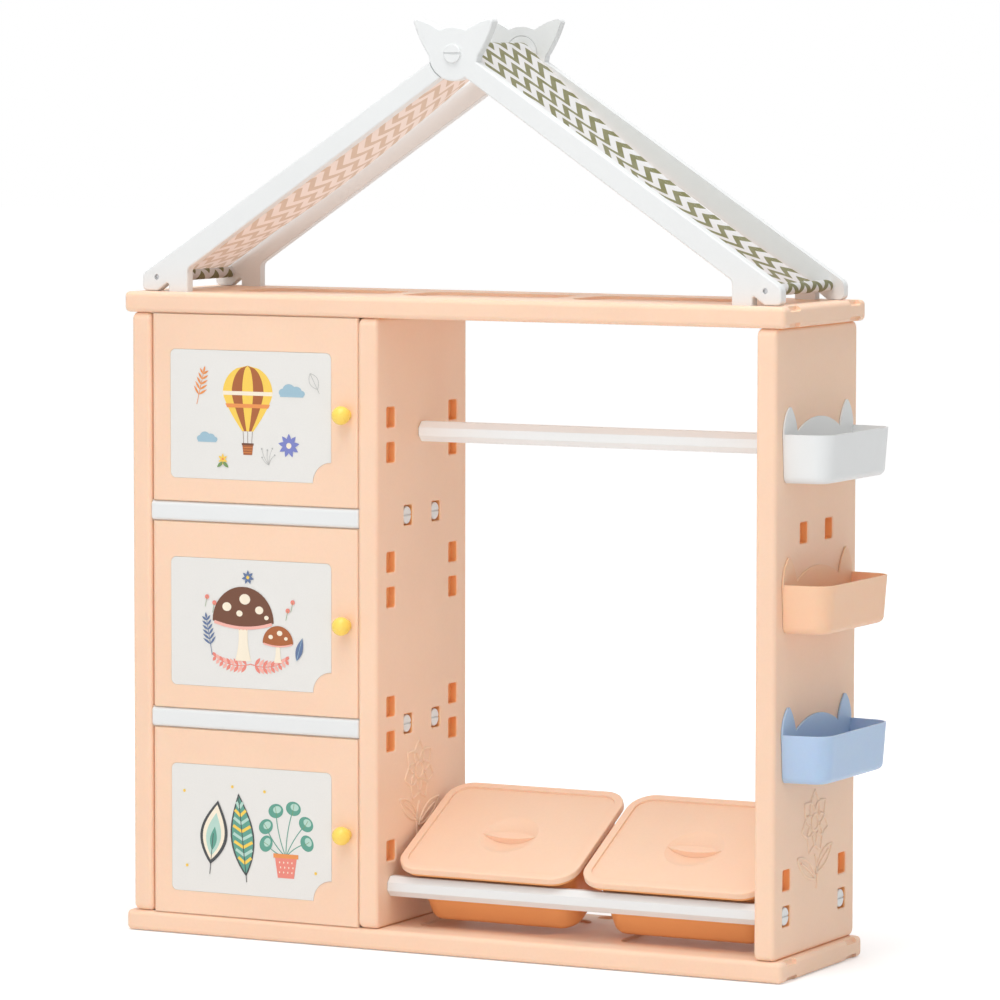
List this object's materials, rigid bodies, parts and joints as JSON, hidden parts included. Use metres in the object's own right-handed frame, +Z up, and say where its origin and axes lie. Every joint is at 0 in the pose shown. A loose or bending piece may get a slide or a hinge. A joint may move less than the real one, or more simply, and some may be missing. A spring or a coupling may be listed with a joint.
{
  "type": "kids wardrobe",
  "caption": "House-shaped child's wardrobe of plastic panels: hanging bay, cabinet with hinged doors, tilted lidded bins, hang-on side baskets and a cloth gable roof.",
  "frame": {"origin": "centre of the base board's underside, on the floor", "axes": "+Z up, +X to the right along the wardrobe's length (hanging bay and side baskets), +Y to the back"},
  "size_m": [1.076, 0.2976, 1.2922],
  "materials": {
    "peach_plastic": "satin, lightly textured",
    "apricot_plastic": "satin",
    "white_plastic": "satin",
    "blue_plastic": "satin",
    "yellow_plastic": "glossy",
    "orange_plastic": "satin",
    "picture_card": "printed, matt",
    "chevron_cloth": "woven, printed with zigzag bands",
    "steel": "plain"
  },
  "bodies": {
    "frame": {"base_board": "peach_plastic", "top_board": "peach_plastic", "left_side_panel": "peach_plastic", "centre_panel": "peach_plastic", "right_side_panel": "peach_plastic", "lower_shelf": "white_plastic", "upper_shelf": "white_plastic", "cabinet_back": "white_plastic", "clothes_rail": "white_plastic", "front_bin_rail": "white_plastic", "rear_bin_rail": "white_plastic", "shelf_screws": "white_plastic", "rail_screws": "white_plastic", "front_left_rafter": "white_plastic", "front_right_rafter": "white_plastic", "rear_left_rafter": "white_plastic", "rear_right_rafter": "white_plastic", "ridge_rod": "white_plastic", "left_eave_rod": "white_plastic", "right_eave_rod": "white_plastic", "ridge_bolts": "white_plastic", "eave_screws": "steel", "roof_cloth": "chevron_cloth"},
    "lower_door": {"lower_door": "peach_plastic", "lower_door_picture": "picture_card", "lower_door_knob": "yellow_plastic", "lower_door_knob_screw": "steel", "lower_door_hinge_pins": "steel"},
    "middle_door": {"middle_door": "peach_plastic", "middle_door_picture": "picture_card", "middle_door_knob": "yellow_plastic", "middle_door_knob_screw": "steel", "middle_door_hinge_pins": "steel"},
    "upper_door": {"upper_door": "peach_plastic", "upper_door_picture": "picture_card", "upper_door_knob": "yellow_plastic", "upper_door_knob_screw": "steel", "upper_door_hinge_pins": "steel"},
    "lower_basket": {"lower_basket": "blue_plastic"},
    "middle_basket": {"middle_basket": "apricot_plastic"},
    "upper_basket": {"upper_basket": "white_plastic"},
    "left_bin": {"left_bin": "orange_plastic"},
    "left_lid": {"left_bin_lid": "peach_plastic"},
    "right_bin": {"right_bin": "orange_plastic"},
    "right_lid": {"right_bin_lid": "peach_plastic"}
  },
  "joints": [
    {"name": "lower_door_hinge", "type": "hinge", "parent": "frame", "child": "lower_door", "pos_m": [-0.4596, -0.1256, 0.1615], "axis": [0, 0, -1], "range_deg": [0, 100]},
    {"name": "middle_door_hinge", "type": "hinge", "parent": "frame", "child": "middle_door", "pos_m": [-0.4596, -0.1256, 0.4545], "axis": [0, 0, -1], "range_deg": [0, 100]},
    {"name": "upper_door_hinge", "type": "hinge", "parent": "frame", "child": "upper_door", "pos_m": [-0.4596, -0.1256, 0.7475], "axis": [0, 0, -1], "range_deg": [0, 100]},
    {"name": "lower_basket_lift", "type": "slide", "parent": "frame", "child": "lower_basket", "axis": [0.8192, 0, 0.5736], "range_m": [0, 0.06]},
    {"name": "middle_basket_lift", "type": "slide", "parent": "frame", "child": "middle_basket", "axis": [0.8192, 0, 0.5736], "range_m": [0, 0.06]},
    {"name": "upper_basket_lift", "type": "slide", "parent": "frame", "child": "upper_basket", "axis": [0.8192, 0, 0.5736], "range_m": [0, 0.06]},
    {"name": "left_bin_lift", "type": "slide", "parent": "frame", "child": "left_bin", "axis": [0, -0.4587, 0.8886], "range_m": [0, 0.12]},
    {"name": "left_lid_lift", "type": "slide", "parent": "left_bin", "child": "left_lid", "axis": [0, -0.4587, 0.8886], "range_m": [0, 0.1]},
    {"name": "right_bin_lift", "type": "slide", "parent": "frame", "child": "right_bin", "axis": [0, -0.4587, 0.8886], "range_m": [0, 0.12]},
    {"name": "right_lid_lift", "type": "slide", "parent": "right_bin", "child": "right_lid", "axis": [0, -0.4587, 0.8886], "range_m": [0, 0.1]}
  ]
}
